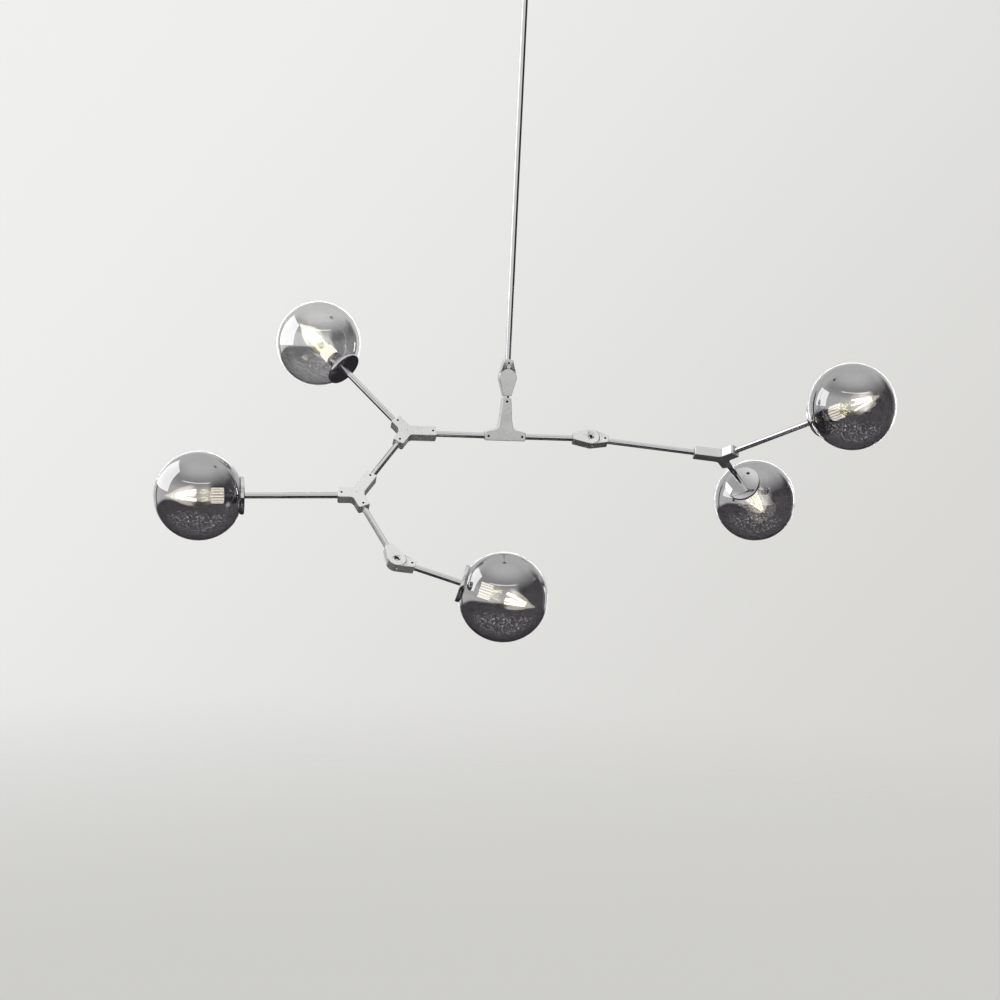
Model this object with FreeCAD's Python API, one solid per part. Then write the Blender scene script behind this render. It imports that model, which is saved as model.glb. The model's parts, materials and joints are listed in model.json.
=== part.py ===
import FreeCAD, Part
import math
import os

# Branch chandelier for five candle bulbs, in millimetres.
# The origin is the middle of the ceiling bracket's top face, with +Z up and -Y to the front.
# A stem hangs from the ceiling. Tubes, forked castings and half lapped hinges carry the lamps.

os.makedirs("parts", exist_ok=True)

Vector = FreeCAD.Vector
CENTRE = Vector(0, 0, 0)
RIGHT = Vector(1, 0, 0)
UP = Vector(0, 0, 1)

# Tubes and castings
TUBE_R = 5.0
TUBE_WALL = 1.0
CAST_T = 17.0              # thickness of every casting
EDGE_ROUND = 1.2           # softened edges of the castings
SOCKET_DEPTH = 14.0        # how far a tube goes into a casting
TURNING_FIT = 0.06         # radial clearance where a tube can turn in its socket
WIRE_BORE_R = 3.5
GRUB_R = 2.0
GRUB_SINK = 0.3            # how far a grub screw lies below the face
GRUB_KEY = 2.0             # hexagon key width of a grub screw
GRUB_KEY_DEPTH = 1.8
GRUB_INSET = 6.0           # grub screw centre from the end of a casting's arm
TIP_CLEARANCE = 0.3        # tip of a grub screw from a tube that can turn

# Tee
TEE_HALF_BAR = 35.0
TEE_HEIGHT = 65.0          # bar axis to the top end
TEE_END_HALF_WIDTH = 7.5
TEE_SHOULDER = (13.5, 12.5)    # the tee's outline where its bar flares into its stem
TEE_WAIST = (10.0, 30.0)       # and half way up the flare
TEE_END_ROUND = 2.5
TEE_SHOULDER_ROUND = 7.0
TEE_WAIST_ROUND = 40.0

# Fork castings
STEM_ARM = 50.0            # centre to the end of the long arm
PAIR_ARM = 31.0            # centre to the end of each short arm
PAIR_ANGLE = 55.5          # each short arm from the long arm's line
ARM_HALF_WIDTH = 10.0
ARM_END_ROUND = 3.0
HOLLOW_ROUND = 9.0         # corner between two arms
DIMPLE_R = 1.2

# Half lapped hinges
DISC_R = 15.0
SHOULDER_GAP = 0.8
LAP_CLEARANCE = 0.1
NECK_END = 31.0            # pivot to the end of the neck
NECK_HALF_WIDTH = 7.0
NECK_ROUND = 2.5
BLIND_FLOOR = 1.0          # metal left under the pivot's blind hole
PIVOT_R = 3.0
PIVOT_FIT = 0.05
PIVOT_HEAD_R = 6.0
PIVOT_HEAD_T = 3.0
PIVOT_KEY = 5.0
PIVOT_KEY_DEPTH = 2.4

# Lamps, measured along the arm from the globe's centre, which is at zero
GLOBE_R = 72.5
GLOBE_WALL = 2.0
NECK_R = 29.8              # glass neck that sits in the cap
NECK_BACK = -69.6
CAP_R = 31.5
CAP_INNER_R = 30.0
CAP_BACK = -72.0
CAP_FACE = -70.0
CAP_RIM = -66.2
HOLDER_R = 13.0
HOLDER_FRONT = -20.0
ARM_END = -58.0            # end of the arm tube inside the lampholder
SOCKET_BACK = -46.0
RECESS_BACK = -30.0
RECESS_R = 11.0
BULB_BASE_R = 7.0
BULB_BASE_FRONT = -24.0
BULB_R = 17.5
BULB_TIP = 54.0
# The candle bulb's profile: (distance along the axis, radius)
BULB_NECK = (-13.5, 14.0)
BULB_WIDEST = (4.0, BULB_R)
BULB_FLANK = (22.0, 15.2)
BULB_BEND = (37.0, 9.0)
BULB_NOSE = (45.5, 4.0)
BULB_END = (BULB_TIP, 1.0)
BULB_WALL = 0.9

# Layout of the branches: lengths between joint centres, and angles
CEILING_TO_PIVOT = 770.0
SEAM_BELOW_CEILING = 184.0
PIVOT_TO_HUB = 99.0
HUB_TURN = 12.0            # the bar is turned about the stem
LEFT_ARM = 168.0
LEFT_TWIST = 45.0          # fork 1 leans back from the vertical
LAMP_1 = 240.0
LOWER_LINK = 167.0
SECOND_TWIST = -3.0
LAMP_2 = 255.0
DROP_ARM = 149.0
DROP_TWIST = -8.0
DROP_BEND = 50.0
LAMP_3 = 180.0
RIGHT_ARM = 149.0
RIGHT_TWIST = 38.0
RIGHT_BEND = -6.5
RIGHT_LINK = 233.0
FORK_TWIST = 59.0
LAMP_4 = 277.0
LAMP_5 = 182.0

# Ceiling set
BRACKET_THICKNESS = 2.0
BRACKET_HALF_WIDTH = 12.5
BRACKET_HALF_LENGTH = 54.0
BRIDGE_HALF_LENGTH = 26.0
BRIDGE_TOP = -14.0
SCREW_SPACING = 70.0
SLOT_LENGTH = 12.0
SLOT_R = 2.4
STUD_X = 47.0
STUD_R = 2.0
CANOPY_R = 60.0
CANOPY_DEPTH = 30.0
CANOPY_WALL = 1.2
CANOPY_ROUND = 5.0
BUSH_R = 7.0
BUSH_FIT = 0.08
BUSH_FLANGE_R = 12.0
BUSH_FLANGE_T = 2.0
BUSH_BOTTOM = -31.0
BUSH_NUT_WIDTH = 20.0
BUSH_NUT_T = 5.0
COLLAR_R = 10.0
STEM_TOP = -5.0
STUD_END = -34.0
CAP_NUT_R = 4.5
CAP_NUT_T = 3.0
DOME_R = 4.0
BLOCK_SIZE = (12.0, 20.0, 9.0)     # terminal block
BLOCK_X = -25.0
WIRE_WAY_R = 1.6
WIRE_WAY_Y = 5.0
COUPLING_HALF_LENGTH = 12.0
COUPLING_WALL = 1.2


def turned(vector, axis, degrees):
    """The vector turned about an axis by the right hand rule."""
    return FreeCAD.Rotation(axis, degrees).multVec(vector)


def placed(shape, origin, x_axis, z_axis):
    """The shape moved from the world axes to a frame with these axes."""
    y_axis = z_axis.cross(x_axis)
    matrix = FreeCAD.Matrix(
        x_axis.x, y_axis.x, z_axis.x, origin.x,
        x_axis.y, y_axis.y, z_axis.y, origin.y,
        x_axis.z, y_axis.z, z_axis.z, origin.z,
        0, 0, 0, 1)
    moved = shape.copy()
    moved.Placement = FreeCAD.Placement(matrix)
    return moved


def save(name, shape):
    """One STEP file for one named piece, or for a group of like fasteners."""
    shape.exportStep("parts/" + name + ".step")


def rod(start, end, radius):
    """A solid round bar between two points."""
    line = end - start
    return Part.makeCylinder(radius, line.Length, start, line)


def tube(start, end, radius=TUBE_R, wall=TUBE_WALL):
    """A drawn tube between two points."""
    return rod(start, end, radius).cut(rod(start, end, radius - wall))


def rounded_outline(corners):
    """A flat face from corners (x, y, radius), with an arc at each corner that has a radius."""
    count = len(corners)
    stretches = []
    for index in range(count):
        x, y, radius = corners[index]
        here = Vector(x, y, 0)
        if radius == 0:
            stretches.append((here, None, here))
            continue
        before = Vector(corners[index - 1][0], corners[index - 1][1], 0) - here
        after_corner = corners[(index + 1) % count]
        after = Vector(after_corner[0], after_corner[1], 0) - here
        before.normalize()
        after.normalize()
        half_angle = before.getAngle(after) / 2
        bisector = before + after
        bisector.normalize()
        reach = radius / math.tan(half_angle)
        middle = here + bisector * (radius / math.sin(half_angle) - radius)
        stretches.append((here + before * reach, middle, here + after * reach))
    edges = []
    for index in range(count):
        start, middle, end = stretches[index]
        following = stretches[(index + 1) % count][0]
        if middle is not None:
            edges.append(Part.Arc(start, middle, end).toShape())
        if end.distanceToPoint(following) > 1e-6:
            edges.append(Part.makeLine(end, following))
    return Part.Face(Part.Wire(edges))


def casting_blank(corners):
    """A plate of casting thickness about z = 0, with its outer edges softened."""
    half = CAST_T / 2
    blank = rounded_outline(corners).extrude(UP * CAST_T)
    blank.translate(UP * -half)
    rims = []
    for edge in blank.Edges:
        box = edge.BoundBox
        if box.ZLength < 1e-6:
            rims.append(edge)
    return blank.makeFillet(EDGE_ROUND, rims)


def socket_cuts(direction, arm_length, fit=0.0):
    """The tube socket in an arm's end and the wire bore from the casting's centre to it."""
    end = direction * (arm_length + 1)
    bottom = direction * (arm_length - SOCKET_DEPTH)
    return [rod(bottom, end, TUBE_R + fit), rod(CENTRE, bottom, WIRE_BORE_R)]


def hexagon(width, depth):
    """A hexagon prism from z = 0 upwards, with its width across flats given."""
    corner_r = width / math.sqrt(3)
    corners = []
    for step in range(6):
        angle = math.radians(60 * step)
        corners.append((corner_r * math.cos(angle), corner_r * math.sin(angle), 0))
    return rounded_outline(corners).extrude(UP * depth)


def grub_screw(at, face_side, tip_clearance=0.0):
    """A hexagon socket grub screw that stands on a tube, in a casting frame."""
    tip = TUBE_R + tip_clearance
    top = CAST_T / 2 - GRUB_SINK
    screw = Part.makeCylinder(GRUB_R, top - tip, UP * tip)
    key = hexagon(GRUB_KEY, CAST_T)
    key.translate(UP * (top - GRUB_KEY_DEPTH))
    screw = screw.cut(key)
    if face_side < 0:
        screw.rotate(CENTRE, RIGHT, 180)
    screw.translate(at)
    return screw


def grub_hole(at, face_side):
    """The threaded hole of a grub screw, from the tube socket to the face."""
    return rod(at, at + UP * (face_side * CAST_T), GRUB_R)


def save_casting_screws(name, screws):
    """The fasteners of one moving body, as a group of separate solids."""
    save(name, Part.makeCompound(screws))


# Tee: one casting with three sockets, local x along the bar, y up, z to the front
def tee_corners():
    """The outline of the tee: its right side from the bottom up, then the same mirrored."""
    right_side = [
        (TEE_HALF_BAR, -TEE_END_HALF_WIDTH, TEE_END_ROUND),
        (TEE_HALF_BAR, TEE_END_HALF_WIDTH, TEE_END_ROUND),
        (TEE_SHOULDER[0], TEE_SHOULDER[1], TEE_SHOULDER_ROUND),
        (TEE_WAIST[0], TEE_WAIST[1], TEE_WAIST_ROUND),
        (TEE_END_HALF_WIDTH, TEE_HEIGHT, TEE_END_ROUND),
    ]
    left_side = [(-x, y, radius) for x, y, radius in reversed(right_side)]
    return right_side + left_side


def tee_casting():
    """The tee and where its three grub screws stand."""
    body = casting_blank(tee_corners())
    along_bar = RIGHT
    along_stub = Vector(0, 1, 0)
    cuts = socket_cuts(along_stub, TEE_HEIGHT)
    cuts += socket_cuts(along_bar, TEE_HALF_BAR, TURNING_FIT)
    cuts += socket_cuts(along_bar * -1, TEE_HALF_BAR, TURNING_FIT)
    spots = [
        along_stub * (TEE_HEIGHT - GRUB_INSET),
        along_bar * (TEE_HALF_BAR - GRUB_INSET),
        along_bar * (GRUB_INSET - TEE_HALF_BAR),
    ]
    for spot in spots:
        cuts.append(grub_hole(spot, 1))
    return body.cut(cuts), spots


# Fork: one casting with a long arm along local x and two short arms, screws on the +z face
def fork_arms():
    """Directions and lengths of a fork's long arm and its two short arms."""
    angle = math.radians(PAIR_ANGLE)
    upper = Vector(-math.cos(angle), math.sin(angle), 0)
    lower = Vector(-math.cos(angle), -math.sin(angle), 0)
    return [(RIGHT, STEM_ARM), (upper, PAIR_ARM), (lower, PAIR_ARM)]


def fork_corners():
    """The outline of a fork: two rounded corners at each arm's end, one hollow between arms."""
    arms = fork_arms()
    angles = [0.0, 180.0 - PAIR_ANGLE, 180.0 + PAIR_ANGLE]
    corners = []
    for index in range(3):
        direction, length = arms[index]
        side = Vector(-direction.y, direction.x, 0)
        for sign in (-1, 1):
            point = direction * length + side * (sign * ARM_HALF_WIDTH)
            corners.append((point.x, point.y, ARM_END_ROUND))
        opening = (angles[(index + 1) % 3] - angles[index]) % 360
        middle = math.radians(angles[index] + opening / 2)
        hollow_r = ARM_HALF_WIDTH / math.sin(math.radians(opening / 2))
        hollow = Vector(math.cos(middle), math.sin(middle), 0) * hollow_r
        corners.append((hollow.x, hollow.y, HOLLOW_ROUND))
    return corners


def fork_casting(turning_arms):
    """A fork and where its grub screws stand. Tubes can turn in the arms that are listed."""
    body = casting_blank(fork_corners())
    arms = fork_arms()
    cuts = []
    spots = []
    for index in range(3):
        direction, length = arms[index]
        fit = TURNING_FIT if index in turning_arms else 0.0
        spot = direction * (length - GRUB_INSET)
        cuts += socket_cuts(direction, length, fit)
        cuts.append(grub_hole(spot, 1))
        spots.append(spot)
    for face_side in (-1, 1):
        face = UP * (face_side * CAST_T / 2)
        cuts.append(Part.makeSphere(DIMPLE_R, face))
    return body.cut(cuts), spots


# Hinge half: a disc about the pivot that runs into a neck along local x.
# The disc fills the half of the thickness on lap_side, and the other half turns past it.
def hinge_half(lap_side, fit=0.0):
    """One casting of a half lapped hinge. The screw head is always on the +z side."""
    neck_corner = math.hypot(NECK_END, NECK_HALF_WIDTH)
    tangent_angle = math.atan2(NECK_HALF_WIDTH, NECK_END) + math.acos(DISC_R / neck_corner)
    back_y = DISC_R * (1 + math.cos(tangent_angle)) / math.sin(tangent_angle)
    body = casting_blank([
        (NECK_END, -NECK_HALF_WIDTH, NECK_ROUND),
        (NECK_END, NECK_HALF_WIDTH, NECK_ROUND),
        (-DISC_R, back_y, DISC_R),
        (-DISC_R, -back_y, DISC_R),
    ])
    lap_face = UP * (lap_side * LAP_CLEARANCE)
    cleared = rod(lap_face, UP * (-lap_side * CAST_T), DISC_R + SHOULDER_GAP)
    spot = RIGHT * (NECK_END - GRUB_INSET)
    socket_bottom = RIGHT * (NECK_END - SOCKET_DEPTH)
    groove_start = RIGHT * (2 * PIVOT_R)
    cuts = [
        cleared,
        rod(socket_bottom, RIGHT * (NECK_END + 1), TUBE_R + fit),
        rod(groove_start, socket_bottom, WIRE_BORE_R),
        grub_hole(spot, -lap_side),
    ]
    if lap_side > 0:
        head_floor = UP * (CAST_T / 2 - PIVOT_HEAD_T - PIVOT_FIT)
        cuts.append(rod(head_floor, UP * CAST_T, PIVOT_HEAD_R + PIVOT_FIT))
        cuts.append(rod(CENTRE, UP * CAST_T, PIVOT_R + PIVOT_FIT))
    else:
        cuts.append(rod(UP * (BLIND_FLOOR - CAST_T / 2), CENTRE, PIVOT_R))
    return body.cut(cuts), spot


def pivot_screw():
    """The hinge's shoulder screw, its head flush with the +z face of the parent's disc."""
    head_floor = CAST_T / 2 - PIVOT_HEAD_T
    head = Part.makeCylinder(PIVOT_HEAD_R, PIVOT_HEAD_T, UP * head_floor)
    shank_bottom = BLIND_FLOOR - CAST_T / 2
    shank = Part.makeCylinder(PIVOT_R, head_floor - shank_bottom, UP * shank_bottom)
    key = hexagon(PIVOT_KEY, PIVOT_HEAD_T)
    key.translate(UP * (CAST_T / 2 - PIVOT_KEY_DEPTH))
    return head.fuse(shank).removeSplitter().cut(key)


def turned_profile(edges):
    """A solid of revolution about local x from a closed profile in the x, y plane."""
    return Part.Face(Part.Wire(edges)).revolve(CENTRE, RIGHT, 360)


def polyline(points):
    """Straight edges through the points."""
    edges = []
    for start, end in zip(points, points[1:]):
        edges.append(Part.makeLine(start, end))
    return edges


def on_sphere(radius, distance_from_axis, side):
    """The point of a sphere about the centre at this distance from local x."""
    return Vector(side * math.sqrt(radius ** 2 - distance_from_axis ** 2), distance_from_axis, 0)


def globe_shape():
    """The blown globe: a sphere with an even wall and a short neck that fits the cap."""
    inner_r = GLOBE_R - GLOBE_WALL
    inner_neck_r = NECK_R - GLOBE_WALL
    diagonal = math.sqrt(0.5)
    outer_start = on_sphere(GLOBE_R, NECK_R, -1)
    inner_start = on_sphere(inner_r, inner_neck_r, -1)
    outer_tip = RIGHT * GLOBE_R
    inner_tip = RIGHT * inner_r
    outer_middle = Vector(diagonal, diagonal, 0) * GLOBE_R
    inner_middle = Vector(diagonal, diagonal, 0) * inner_r
    neck_outer = Vector(NECK_BACK, NECK_R, 0)
    neck_inner = Vector(NECK_BACK, inner_neck_r, 0)
    edges = [
        Part.Arc(outer_start, outer_middle, outer_tip).toShape(),
        Part.makeLine(outer_tip, inner_tip),
        Part.Arc(inner_tip, inner_middle, inner_start).toShape(),
    ]
    edges += polyline([inner_start, neck_inner, neck_outer, outer_start])
    return turned_profile(edges)


def cap_shape():
    """The polished disc with a skirt that closes the globe and carries its neck."""
    points = [
        Vector(CAP_BACK, TUBE_R, 0),
        Vector(CAP_BACK, CAP_R - 1, 0),
        Vector(CAP_BACK + 1, CAP_R, 0),
        Vector(CAP_RIM, CAP_R, 0),
        Vector(CAP_RIM, CAP_INNER_R, 0),
        Vector(CAP_FACE, CAP_INNER_R, 0),
        Vector(CAP_FACE, TUBE_R, 0),
        Vector(CAP_BACK, TUBE_R, 0),
    ]
    return turned_profile(polyline(points))


def holder_shape():
    """The lampholder in its sleeve: the arm screws into its back, the bulb into its front."""
    points = [
        Vector(CAP_FACE, TUBE_R, 0),
        Vector(CAP_FACE, HOLDER_R, 0),
        Vector(HOLDER_FRONT, HOLDER_R, 0),
        Vector(HOLDER_FRONT, RECESS_R, 0),
        Vector(RECESS_BACK, RECESS_R, 0),
        Vector(RECESS_BACK, BULB_BASE_R, 0),
        Vector(SOCKET_BACK, BULB_BASE_R, 0),
        Vector(SOCKET_BACK, WIRE_BORE_R, 0),
        Vector(ARM_END, WIRE_BORE_R, 0),
        Vector(ARM_END, TUBE_R, 0),
        Vector(CAP_FACE, TUBE_R, 0),
    ]
    return turned_profile(polyline(points))


def bulb_body(skin):
    """The candle bulb's outline turned to a solid, this far inside its outer surface."""
    neck, widest, flank, bend, nose, end = [
        Vector(along, radius - skin, 0) for along, radius in
        (BULB_NECK, BULB_WIDEST, BULB_FLANK, BULB_BEND, BULB_NOSE, BULB_END)]
    end = end - RIGHT * (2 * skin)
    back = Vector(BULB_BASE_FRONT + skin, 0, 0)
    start = Vector(BULB_BASE_FRONT + skin, BULB_BASE_R - skin, 0)
    edges = [
        Part.makeLine(back, start),
        Part.Arc(start, neck, widest).toShape(),
        Part.Arc(widest, flank, bend).toShape(),
        Part.Arc(bend, nose, end).toShape(),
    ]
    edges += polyline([end, Vector(end.x, 0, 0), back])
    return turned_profile(edges)


def bulb_shape():
    """A candle bulb: its screw base and a hollow glass body drawn out to a point."""
    base = rod(RIGHT * (SOCKET_BACK + 1), RIGHT * (BULB_BASE_FRONT + 1), BULB_BASE_R)
    body = bulb_body(0).cut(bulb_body(BULB_WALL))
    return body.fuse(base).removeSplitter()


def save_lamp(number, centre, direction):
    """Cap, lampholder, bulb and globe of one lamp, in line with its arm."""
    across = direction.cross(UP)
    across.normalize()
    pieces = {
        "cap": cap_shape(),
        "holder": holder_shape(),
        "bulb": bulb_shape(),
        "globe": globe_shape(),
    }
    for kind, shape in pieces.items():
        name = "lamp_%d_%s" % (number, kind)
        save(name, placed(shape, centre, direction, across))


def save_lamp_arm(number, start, direction, length):
    """The tube from a casting's socket to the lampholder, and the lamp at its end."""
    tube_start = start + direction * (PAIR_ARM - SOCKET_DEPTH)
    centre = start + direction * length
    save("lamp_%d_arm" % number, tube(tube_start, centre + direction * ARM_END))
    save_lamp(number, centre, direction)


# Ceiling set
def bracket_shape():
    """A hat section strap with two slots for the ceiling screws and two pressed in studs."""
    width = 2 * BRACKET_HALF_WIDTH
    foot_length = BRACKET_HALF_LENGTH - BRIDGE_HALF_LENGTH + BRACKET_THICKNESS
    bridge_bottom = BRIDGE_TOP - BRACKET_THICKNESS
    strap = Part.makeBox(
        2 * BRIDGE_HALF_LENGTH, width, BRACKET_THICKNESS,
        Vector(-BRIDGE_HALF_LENGTH, -BRACKET_HALF_WIDTH, bridge_bottom))
    cuts = [rod(UP * bridge_bottom, UP * BRIDGE_TOP, BUSH_R)]
    for side in (-1, 1):
        foot_x = side * (BRACKET_HALF_LENGTH - foot_length / 2) - foot_length / 2
        foot = Part.makeBox(
            foot_length, width, BRACKET_THICKNESS,
            Vector(foot_x, -BRACKET_HALF_WIDTH, -BRACKET_THICKNESS))
        leg_x = side * (BRIDGE_HALF_LENGTH - BRACKET_THICKNESS / 2) - BRACKET_THICKNESS / 2
        leg = Part.makeBox(
            BRACKET_THICKNESS, width, -bridge_bottom,
            Vector(leg_x, -BRACKET_HALF_WIDTH, bridge_bottom))
        stud = rod(Vector(side * STUD_X, 0, -0.2), Vector(side * STUD_X, 0, STUD_END), STUD_R)
        strap = strap.fuse([foot, leg, stud])
        slot_middle = side * SCREW_SPACING / 2
        half_run = SLOT_LENGTH / 2 - SLOT_R
        slot = Part.makeBox(
            2 * half_run, 2 * SLOT_R, 2 * BRACKET_THICKNESS,
            Vector(slot_middle - half_run, -SLOT_R, -1.5 * BRACKET_THICKNESS))
        cuts.append(slot)
        for end in (-half_run, half_run):
            end_x = slot_middle + end
            bottom = Vector(end_x, 0, -1.5 * BRACKET_THICKNESS)
            cuts.append(Part.makeCylinder(SLOT_R, 2 * BRACKET_THICKNESS, bottom))
    return strap.removeSplitter().cut(cuts)


def canopy_shape():
    """The spun cup that covers the ceiling box, with holes for the bush and the studs."""
    outer = Part.makeCylinder(CANOPY_R, CANOPY_DEPTH, UP * -CANOPY_DEPTH)
    inner_r = CANOPY_R - CANOPY_WALL
    inner = Part.makeCylinder(inner_r, CANOPY_DEPTH, UP * (CANOPY_WALL - CANOPY_DEPTH))
    outer_rim = [edge for edge in outer.Edges if edge.BoundBox.ZMax < 1 - CANOPY_DEPTH]
    inner_rim = []
    for edge in inner.Edges:
        if edge.BoundBox.ZMax < 1 + CANOPY_WALL - CANOPY_DEPTH:
            inner_rim.append(edge)
    outer = outer.makeFillet(CANOPY_ROUND, outer_rim)
    inner = inner.makeFillet(CANOPY_ROUND - CANOPY_WALL, inner_rim)
    floor = UP * (-CANOPY_DEPTH - 1)
    cuts = [inner, rod(floor, floor + UP * 5, BUSH_R + 0.1)]
    for side in (-1, 1):
        start = floor + RIGHT * (side * STUD_X)
        cuts.append(rod(start, start + UP * 5, STUD_R + 0.2))
    return outer.cut(cuts)


def cap_nut(x_position):
    """A domed nut under the canopy, screwed on a stud."""
    top = Vector(x_position, 0, -CANOPY_DEPTH)
    collar_bottom = top - UP * CAP_NUT_T
    collar = rod(top, collar_bottom, CAP_NUT_R)
    dome = Part.makeSphere(DOME_R, collar_bottom, UP, -90, 0, 360)
    stud = rod(top + UP, Vector(x_position, 0, STUD_END), STUD_R)
    return collar.fuse(dome).cut(stud)


def terminal_block():
    """The block for two wires, beside the bush."""
    length, width, height = BLOCK_SIZE
    middle_z = BRIDGE_TOP - BRACKET_THICKNESS - height / 2
    block = Part.makeBox(
        length, width, height, Vector(BLOCK_X, -width / 2, middle_z - height / 2))
    wire_ways = []
    for side in (-1, 1):
        start = Vector(BLOCK_X - 1, side * WIRE_WAY_Y, middle_z)
        wire_ways.append(rod(start, start + RIGHT * (length + 2), WIRE_WAY_R))
    return block.cut(wire_ways)


def save_ceiling_set():
    """Everything that is fixed to the ceiling."""
    save("ceiling_bracket", bracket_shape())
    save("canopy", canopy_shape())
    save("canopy_nuts", Part.makeCompound([cap_nut(-STUD_X), cap_nut(STUD_X)]))
    flange = rod(UP * BRIDGE_TOP, UP * (BRIDGE_TOP + BUSH_FLANGE_T), BUSH_FLANGE_R)
    barrel = rod(UP * BRIDGE_TOP, UP * BUSH_BOTTOM, BUSH_R)
    bore = rod(CENTRE, UP * (BUSH_BOTTOM - 1), TUBE_R + BUSH_FIT)
    save("swivel_bush", flange.fuse(barrel).removeSplitter().cut(bore))
    nut = hexagon(BUSH_NUT_WIDTH, BUSH_NUT_T)
    nut.translate(UP * (BRIDGE_TOP - BRACKET_THICKNESS - BUSH_NUT_T))
    save("bush_nut", nut.cut(rod(CENTRE, UP * BUSH_BOTTOM, BUSH_R)))
    save("terminal_block", terminal_block())


def save_stem(pivot):
    """The stem: it turns in the bush, and its collar carries the weight."""
    seam = UP * -SEAM_BELOW_CEILING
    flange_top = BRIDGE_TOP + BUSH_FLANGE_T
    collar_bottom = UP * (flange_top + LAP_CLEARANCE)
    collar_top = UP * (STEM_TOP - 1)
    collar = rod(collar_bottom, collar_top, COLLAR_R)
    save("stem_collar", collar.cut(rod(CENTRE, UP * BRIDGE_TOP, TUBE_R)))
    save("stem_upper", tube(UP * STEM_TOP, seam))
    half_coupling = UP * COUPLING_HALF_LENGTH
    inner_r = TUBE_R - TUBE_WALL
    save("stem_coupling", tube(seam + half_coupling, seam - half_coupling, inner_r, COUPLING_WALL))
    save("stem_lower", tube(seam, pivot + UP * (NECK_END - SOCKET_DEPTH)))


def placed_solid(solid, origin, x_axis, z_axis):
    """A screw that already stands in a casting frame, moved with that frame."""
    holder = Part.makeCompound([solid])
    return placed(holder, origin, x_axis, z_axis).Solids[0]


def save_hinge(parent_name, child_name, pivot, parent_axis, child_axis, face_axis, child_fit=0.0):
    """Both castings of a hinge. Gives the parent's screws and the child's screws."""
    parent, parent_spot = hinge_half(1)
    child, child_spot = hinge_half(-1, child_fit)
    tip_clearance = TIP_CLEARANCE if child_fit else 0.0
    save(parent_name, placed(parent, pivot, parent_axis, face_axis))
    save(child_name, placed(child, pivot, child_axis, face_axis))
    parent_grub = grub_screw(parent_spot, -1)
    child_grub = grub_screw(child_spot, 1, tip_clearance)
    parent_screws = [placed_solid(parent_grub, pivot, parent_axis, face_axis)]
    child_screws = [
        placed_solid(pivot_screw(), pivot, child_axis, face_axis),
        placed_solid(child_grub, pivot, child_axis, face_axis),
    ]
    return parent_screws, child_screws


def save_fork(name, centre, stem_axis, face_axis, turning_arms):
    """A fork casting. Gives its screws and the directions of its two short arms."""
    body, spots = fork_casting(turning_arms)
    save(name, placed(body, centre, stem_axis, face_axis))
    screws = []
    for index, spot in enumerate(spots):
        tip_clearance = TIP_CLEARANCE if index in turning_arms else 0.0
        screw = grub_screw(spot, 1, tip_clearance)
        screws.append(placed_solid(screw, centre, stem_axis, face_axis))
    opening = 180 - PAIR_ANGLE
    upper = turned(stem_axis, face_axis, opening)
    lower = turned(stem_axis, face_axis, -opening)
    return screws, upper, lower


# Places of the joint centres, from the ceiling outwards
bar = turned(RIGHT, UP, HUB_TURN)
front = bar.cross(UP)
stem_pivot = UP * -CEILING_TO_PIVOT
hub = stem_pivot - UP * PIVOT_TO_HUB
FORK_SOCKET = PAIR_ARM - SOCKET_DEPTH
LONG_SOCKET = STEM_ARM - SOCKET_DEPTH
HINGE_SOCKET = NECK_END - SOCKET_DEPTH
TEE_SOCKET = TEE_HALF_BAR - SOCKET_DEPTH

save_ceiling_set()
save_stem(stem_pivot)

# Stem hinge and tee
stem_screws, hub_screws = save_hinge(
    "stem_hinge_upper", "stem_hinge_lower", stem_pivot, UP, UP * -1, front * -1)
save_casting_screws("stem_screw", stem_screws)
stub_bottom = hub + UP * (TEE_HEIGHT - SOCKET_DEPTH)
save("hub_stub", tube(stem_pivot - UP * HINGE_SOCKET, stub_bottom))
tee, tee_spots = tee_casting()
save("tee", placed(tee, hub, bar, front))
for index, spot in enumerate(tee_spots):
    turning = index > 0
    screw = grub_screw(spot, 1, TIP_CLEARANCE if turning else 0.0)
    hub_screws.append(placed_solid(screw, hub, bar, front))
save_casting_screws("hub_screws", hub_screws)

# Left branch: the first fork carries lamp 1 and the link to the second fork
left_centre = hub - bar * LEFT_ARM
left_face = turned(front, bar, -LEFT_TWIST)
save("left_arm", tube(hub - bar * TEE_SOCKET, left_centre + bar * LONG_SOCKET))
left_screws, to_lamp_1, to_second = save_fork("left_fork", left_centre, bar, left_face, [2])
save_casting_screws("left_fork_screws", left_screws)
save_lamp_arm(1, left_centre, to_lamp_1, LAMP_1)

# Second fork: lamp 2 and the drop arm
second_centre = left_centre + to_second * LOWER_LINK
to_left = to_second * -1
second_face = turned(left_face, to_left, SECOND_TWIST)
link_start = left_centre + to_second * FORK_SOCKET
save("lower_link", tube(link_start, second_centre + to_left * LONG_SOCKET))
second_screws, to_lamp_2, to_drop = save_fork(
    "second_fork", second_centre, to_left, second_face, [2])
save_casting_screws("second_fork_screws", second_screws)
save_lamp_arm(2, second_centre, to_lamp_2, LAMP_2)

# Drop hinge and lamp 3
drop_pivot = second_centre + to_drop * DROP_ARM
drop_face = turned(second_face, to_drop, DROP_TWIST)
to_lamp_3 = turned(to_drop, drop_face, DROP_BEND)
drop_start = second_centre + to_drop * FORK_SOCKET
save("drop_arm", tube(drop_start, drop_pivot - to_drop * HINGE_SOCKET))
drop_screws, lamp_3_screws = save_hinge(
    "drop_hinge_upper", "drop_hinge_lower", drop_pivot, to_drop * -1, to_lamp_3, drop_face)
save_casting_screws("drop_screw", drop_screws)
save_casting_screws("drop_hinge_screws", lamp_3_screws)
save_lamp_arm(3, drop_pivot, to_lamp_3, LAMP_3)

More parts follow.
